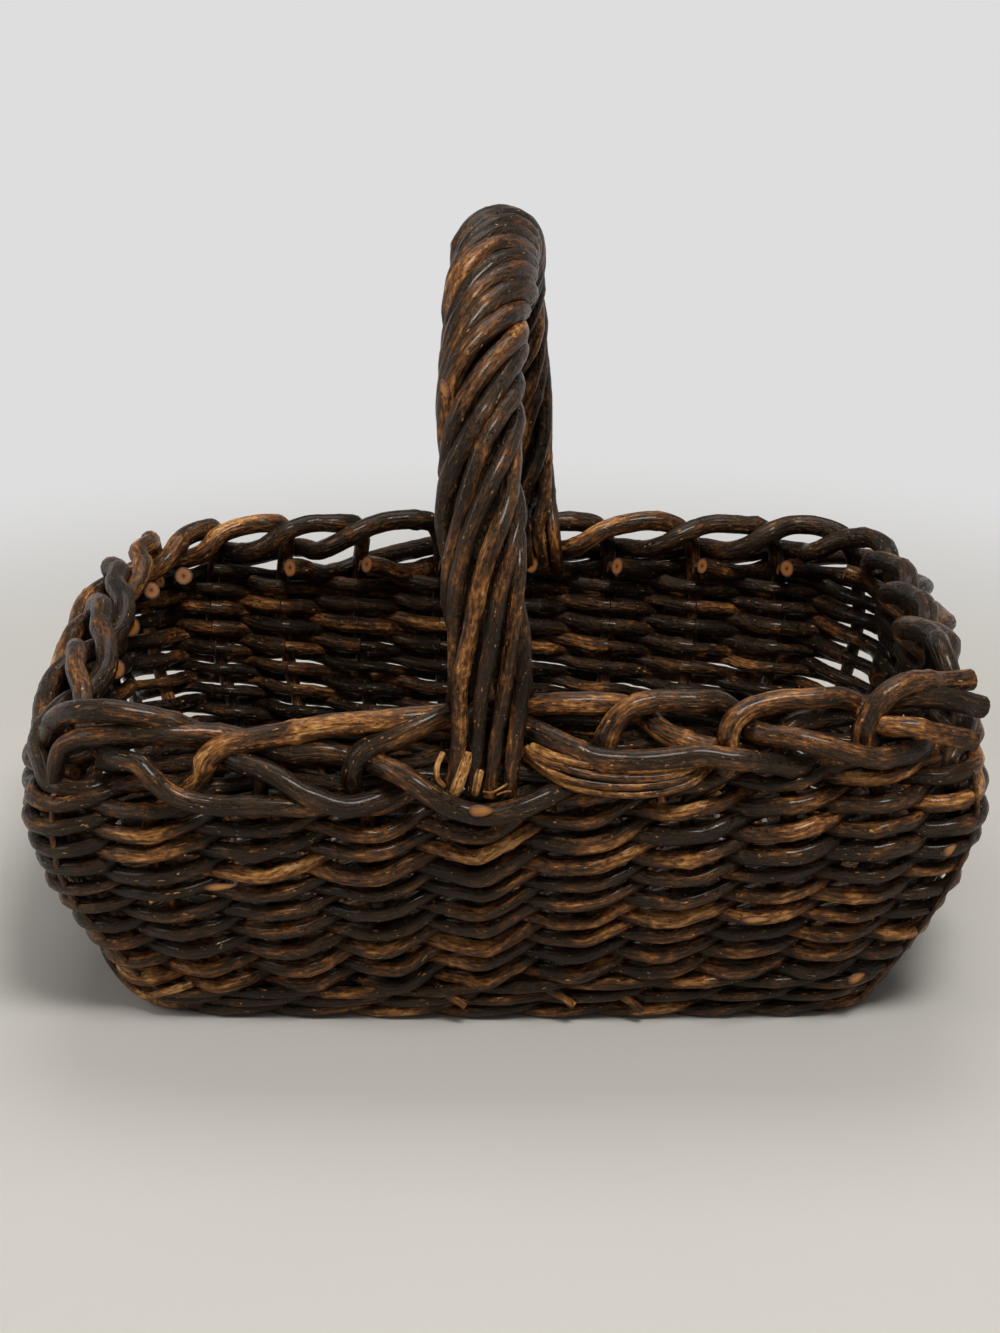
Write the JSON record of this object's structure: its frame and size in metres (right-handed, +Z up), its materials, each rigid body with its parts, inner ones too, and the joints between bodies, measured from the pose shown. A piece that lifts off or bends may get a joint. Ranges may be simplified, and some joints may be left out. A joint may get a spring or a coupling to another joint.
{
  "type": "gathering basket",
  "caption": "Deep rectangular willow basket with a bellied randed wall, a rolled border, a woven base and a fixed roped handle over the middle.",
  "frame": {"origin": "middle of the bounding box, on the floor under the base", "axes": "+X along the basket's long side, +Z up; -Y is the side seen in the picture"},
  "size_m": [0.5168, 0.3841, 0.4106],
  "materials": {
    "stake_bark": "semi-gloss stained bark",
    "dark_bark": "semi-gloss stained bark",
    "brown_bark": "semi-gloss stained bark",
    "golden_bark": "semi-gloss stained bark",
    "base_willow": "semi-gloss stained bark",
    "handle_bark": "semi-gloss stained bark"
  },
  "bodies": {
    "root": {"foot_wale": "base_willow", "base_weaver": "base_willow", "base_stick_1": "stake_bark", "base_stick_2": "stake_bark", "base_stick_3": "stake_bark", "base_stick_4": "stake_bark", "weaver_round_01": "brown_bark", "weaver_round_02": "dark_bark", "weaver_round_03": "golden_bark", "weaver_round_04": "dark_bark", "weaver_round_05": "brown_bark", "weaver_round_06": "brown_bark", "weaver_round_07": "dark_bark", "weaver_round_08": "golden_bark", "weaver_round_09": "dark_bark", "weaver_round_10": "brown_bark", "stake_01": "stake_bark", "stake_02": "golden_bark", "stake_03": "stake_bark", "stake_04": "stake_bark", "stake_05": "stake_bark", "stake_06": "stake_bark", "stake_07": "golden_bark", "stake_08": "stake_bark", "stake_09": "stake_bark", "stake_10": "stake_bark", "stake_11": "stake_bark", "stake_12": "golden_bark", "stake_13": "stake_bark", "stake_14": "stake_bark", "stake_15": "stake_bark", "stake_16": "stake_bark", "stake_17": "golden_bark", "stake_18": "stake_bark", "stake_19": "stake_bark", "stake_20": "stake_bark", "stake_21": "stake_bark", "stake_22": "golden_bark", "stake_23": "stake_bark", "stake_24": "stake_bark", "stake_25": "stake_bark", "stake_26": "stake_bark", "handle_bow": "stake_bark", "handle_strand_1": "handle_bark", "handle_strand_2": "handle_bark", "handle_strand_3": "golden_bark", "handle_strand_4": "handle_bark", "handle_strand_5": "handle_bark", "handle_strand_6": "golden_bark", "handle_strand_7": "handle_bark", "handle_strand_8": "handle_bark", "handle_strand_9": "handle_bark"}
  },
  "joints": []
}
